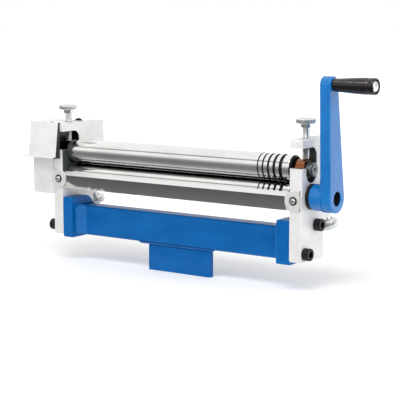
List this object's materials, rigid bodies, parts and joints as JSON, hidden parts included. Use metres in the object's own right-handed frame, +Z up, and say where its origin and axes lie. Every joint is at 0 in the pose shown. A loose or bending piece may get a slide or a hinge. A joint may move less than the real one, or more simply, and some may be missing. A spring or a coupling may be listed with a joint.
{
  "type": "slip roll machine",
  "caption": "Bench slip roll with geared front rollers, a swinging crank, an adjustable rear bending roller and thumb screws, on a beam with a tab for a vise.",
  "frame": {"origin": "on the front face of the vise tab, 16 mm above its lower edge, in the mid-plane between the end plates", "axes": "+X along the rollers towards the crank; +Y from the operator's side to the back; +Z up"},
  "size_m": [0.4477, 0.0908, 0.2251],
  "materials": {
    "zinc_plate": "machined steel plate, bright zinc plated",
    "blue_paint": "mid-blue powder coat, satin gloss",
    "ground_steel": "ground and lightly oiled steel",
    "gear_steel": "machined steel with a film of grease",
    "black_steel": "black oxide steel",
    "bright_screw": "zinc-plated steel",
    "cover_sheet": "zinc-plated sheet",
    "guard_sheet": "bright zinc-plated sheet",
    "bronze": "sintered bronze, oiled",
    "grip_plastic": "moulded black plastic, glossy"
  },
  "bodies": {
    "frame": {"left_end_plate": "zinc_plate", "right_end_plate": "zinc_plate", "base_beam": "blue_paint", "left_flange": "blue_paint", "right_flange": "blue_paint", "flange_welds": "blue_paint", "vise_tab": "blue_paint", "tab_weld": "blue_paint", "plate_bolts": "black_steel", "front_guard": "guard_sheet", "guard_screws": "bright_screw", "gear_box": "cover_sheet", "gear_box_screws": "black_steel", "gear_hood": "cover_sheet", "hood_screw": "black_steel", "lower_left_bush": "bronze", "lower_right_bush": "bronze"},
    "crank": {"lower_roller": "ground_steel", "lower_gear": "gear_steel", "lower_gear_key": "black_steel", "lower_gear_ring": "black_steel", "lower_collar": "black_steel", "lower_right_collar": "black_steel", "thrust_washer": "black_steel", "crank_hub": "blue_paint", "crank_key": "black_steel", "crank_set_screw": "black_steel", "crank_arm": "blue_paint", "handle_bolt": "bright_screw"},
    "grip": {"handle_grip": "grip_plastic"},
    "upper_carriage": {"upper_left_bush": "bronze", "upper_right_bush": "bronze"},
    "upper_roller": {"upper_roller": "ground_steel", "upper_gear": "gear_steel", "upper_gear_key": "black_steel", "upper_gear_ring": "black_steel", "upper_collar": "black_steel", "upper_right_collar": "black_steel"},
    "top_left_screw": {"top_left_screw": "bright_screw"},
    "top_right_screw": {"top_right_screw": "bright_screw"},
    "rear_carriage": {"rear_left_bush": "bronze", "rear_right_bush": "bronze"},
    "rear_roller": {"rear_roller": "ground_steel"},
    "rear_left_screw": {"rear_left_screw": "bright_screw"},
    "rear_right_screw": {"rear_right_screw": "bright_screw"}
  },
  "joints": [
    {"name": "crank_turn", "type": "hinge", "parent": "frame", "child": "crank", "pos_m": [0, 0.0025, 0.0837], "axis": [1, 0, 0], "continuous": true},
    {"name": "grip_spin", "type": "hinge", "parent": "crank", "child": "grip", "pos_m": [0, -0.00749, 0.20027], "axis": [1, 0, 0], "continuous": true},
    {"name": "upper_roller_lift", "type": "slide", "parent": "frame", "child": "upper_carriage", "axis": [0, 0, 1], "range_m": [0, 0.012]},
    {"name": "upper_roller_turn", "type": "hinge", "parent": "upper_carriage", "child": "upper_roller", "pos_m": [0, 0.0025, 0.112], "axis": [1, 0, 0], "continuous": true},
    {"name": "top_left_screw_feed", "type": "slide", "parent": "frame", "child": "top_left_screw", "axis": [0, 0, 1], "range_m": [0, 0.012]},
    {"name": "top_right_screw_feed", "type": "slide", "parent": "frame", "child": "top_right_screw", "axis": [0, 0, 1], "range_m": [0, 0.012]},
    {"name": "rear_roller_adjust", "type": "slide", "parent": "frame", "child": "rear_carriage", "axis": [0, -0.4226, 0.9063], "range_m": [-0.012, 0.006]},
    {"name": "rear_roller_turn", "type": "hinge", "parent": "rear_carriage", "child": "rear_roller", "pos_m": [0, 0.0323, 0.0891], "axis": [1, 0, 0], "continuous": true},
    {"name": "rear_left_screw_feed", "type": "slide", "parent": "frame", "child": "rear_left_screw", "axis": [0, -0.4226, 0.9063], "range_m": [-0.012, 0.006]},
    {"name": "rear_right_screw_feed", "type": "slide", "parent": "frame", "child": "rear_right_screw", "axis": [0, -0.4226, 0.9063], "range_m": [-0.012, 0.006]}
  ],
  "couplings": [
    {"joint": "upper_roller_turn", "follows": "crank_turn", "ratio": -1},
    {"joint": "top_left_screw_feed", "follows": "upper_roller_lift", "ratio": 1},
    {"joint": "top_right_screw_feed", "follows": "upper_roller_lift", "ratio": 1},
    {"joint": "rear_left_screw_feed", "follows": "rear_roller_adjust", "ratio": 1},
    {"joint": "rear_right_screw_feed", "follows": "rear_roller_adjust", "ratio": 1}
  ]
}
